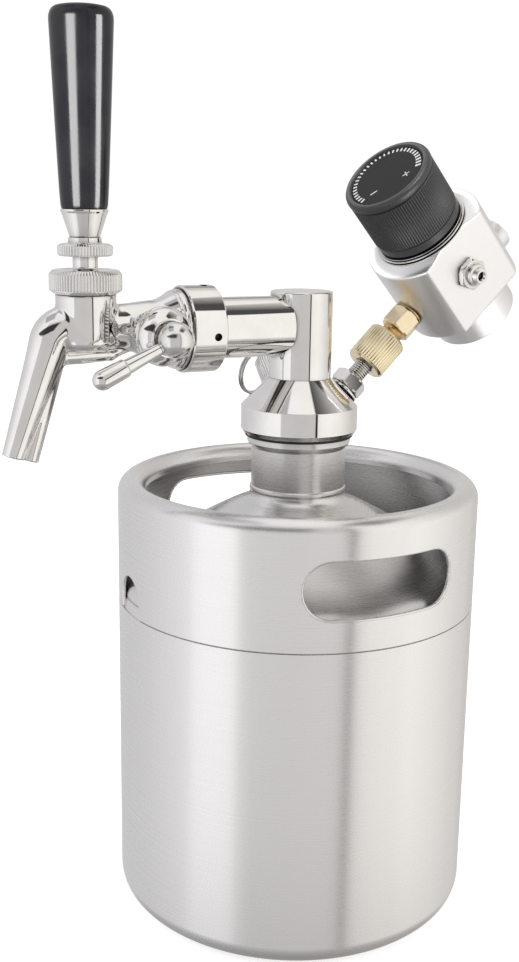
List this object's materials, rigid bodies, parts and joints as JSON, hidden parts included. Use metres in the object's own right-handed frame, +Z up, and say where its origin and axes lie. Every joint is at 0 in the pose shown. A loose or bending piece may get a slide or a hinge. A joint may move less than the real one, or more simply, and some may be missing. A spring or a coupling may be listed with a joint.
{
  "type": "mini keg with tap",
  "caption": "Small stainless keg with a screw-on tap head: long-handled tap, side flow-control lever, relief valve with pull ring, and an angled gas regulator with a round knob.",
  "frame": {"origin": "centre of the keg's base on the keg's axis, on the surface it stands on", "axes": "+Z up along the keg's axis; the tap's spout points along -Y; the gas regulator leans out along +Y; the flow-control lever is on +X and the relief valve on -X"},
  "size_m": [0.165, 0.2493, 0.399],
  "materials": {
    "keg_steel": "satin",
    "polished_steel": "mirror polish",
    "dull_steel": "dull",
    "black_rubber": "matte",
    "gloss_black": "gloss",
    "matte_black": "matte",
    "white_plastic": "matte",
    "brass": "satin",
    "satin_aluminium": "satin"
  },
  "bodies": {
    "keg": {"keg_shell": "keg_steel", "keg_shoulder": "keg_steel", "keg_neck": "keg_steel", "handle_collar": "keg_steel"},
    "head": {"neck_gasket": "black_rubber", "skirt_seal": "black_rubber", "head_cap": "polished_steel", "tower": "polished_steel", "shank_tube": "polished_steel", "coupling_nut": "polished_steel", "shank_washer": "black_rubber", "dip_tube": "polished_steel", "dip_tube_seal": "black_rubber", "dip_tube_gland": "polished_steel", "relief_body": "polished_steel", "relief_spring": "dull_steel", "inlet_washer": "polished_steel", "inlet_nipple": "dull_steel", "union_seal": "black_rubber", "outlet_fitting": "brass", "regulator_body": "satin_aluminium", "vent_port": "dull_steel", "vent_valve": "dull_steel", "rear_plug": "satin_aluminium", "side_plug": "satin_aluminium", "cylinder_port": "satin_aluminium", "cylinder_seal": "black_rubber", "depressor_pin": "dull_steel", "diaphragm": "black_rubber", "diaphragm_plate": "brass", "regulating_spring": "dull_steel", "valve_poppet": "dull_steel", "regulator_bonnet": "polished_steel", "faucet_body": "polished_steel", "faucet_bonnet": "polished_steel", "ball_washer": "white_plastic", "flow_seal": "black_rubber", "flow_bonnet": "polished_steel", "flow_cap": "polished_steel"},
    "handle": {"tap_lever": "polished_steel", "lever_nut": "polished_steel", "handle_ferrule": "polished_steel", "handle_insert": "brass", "tap_handle": "gloss_black"},
    "forward_seal": {"seal_shaft": "polished_steel", "shaft_seal": "black_rubber"},
    "flow_control": {"flow_spindle": "polished_steel", "flow_lever": "polished_steel"},
    "compensator": {"flow_compensator": "white_plastic"},
    "knob": {"regulator_knob": "matte_black", "dial_plate": "matte_black", "adjusting_screw": "dull_steel"},
    "spring_seat": {"spring_plate": "brass"},
    "relief_plunger": {"relief_stem": "polished_steel", "relief_seal": "black_rubber"},
    "ring": {"pull_ring": "polished_steel"},
    "union": {"union_nut": "brass"}
  },
  "joints": [
    {"name": "head_lift", "type": "slide", "parent": "keg", "child": "head", "axis": [0, 0, 1], "range_m": [0, 0.235]},
    {"name": "handle_tilt", "type": "hinge", "parent": "head", "child": "handle", "pos_m": [0, -0.1, 0.29], "axis": [1, 0, 0], "range_deg": [0, 24]},
    {"name": "seal_travel", "type": "slide", "parent": "head", "child": "forward_seal", "axis": [0, 1, 0], "range_m": [0, 0.0087]},
    {"name": "flow_turn", "type": "hinge", "parent": "head", "child": "flow_control", "pos_m": [0.0365, -0.0745, 0.2708], "axis": [1, 0, 0], "range_deg": [-25, 65]},
    {"name": "compensator_travel", "type": "slide", "parent": "head", "child": "compensator", "axis": [0, 1, 0], "range_m": [-0.00072, 0.00186]},
    {"name": "knob_turn", "type": "hinge", "parent": "head", "child": "knob", "pos_m": [0, 0.07646, 0.29426], "axis": [0.1994, -0.6929, 0.6929], "range_deg": [-135, 135]},
    {"name": "spring_seat_travel", "type": "slide", "parent": "head", "child": "spring_seat", "axis": [0.1994, -0.6929, 0.6929], "range_m": [-0.00112, 0.00112]},
    {"name": "relief_lift", "type": "slide", "parent": "head", "child": "relief_plunger", "axis": [-0.7071, 0, 0.7071], "range_m": [0, 0.0025], "stiffness_N_per_m": 400, "springref_m": -0.003},
    {"name": "ring_swing", "type": "hinge", "parent": "relief_plunger", "child": "ring", "pos_m": [-0.03665, 0, 0.25445], "axis": [-0.4117, 0.8131, -0.4117], "range_deg": [0, 110]},
    {"name": "union_spin", "type": "hinge", "parent": "head", "child": "union", "pos_m": [0, 0.03948, 0.25728], "axis": [0, 0.7071, 0.7071], "continuous": true}
  ],
  "couplings": [
    {"joint": "seal_travel", "follows": "handle_tilt", "m_per_rad": 0.0204},
    {"joint": "compensator_travel", "follows": "flow_turn", "m_per_rad": 0.00162},
    {"joint": "knob_turn", "follows": "spring_seat_travel", "rad_per_m": -2096.4}
  ]
}
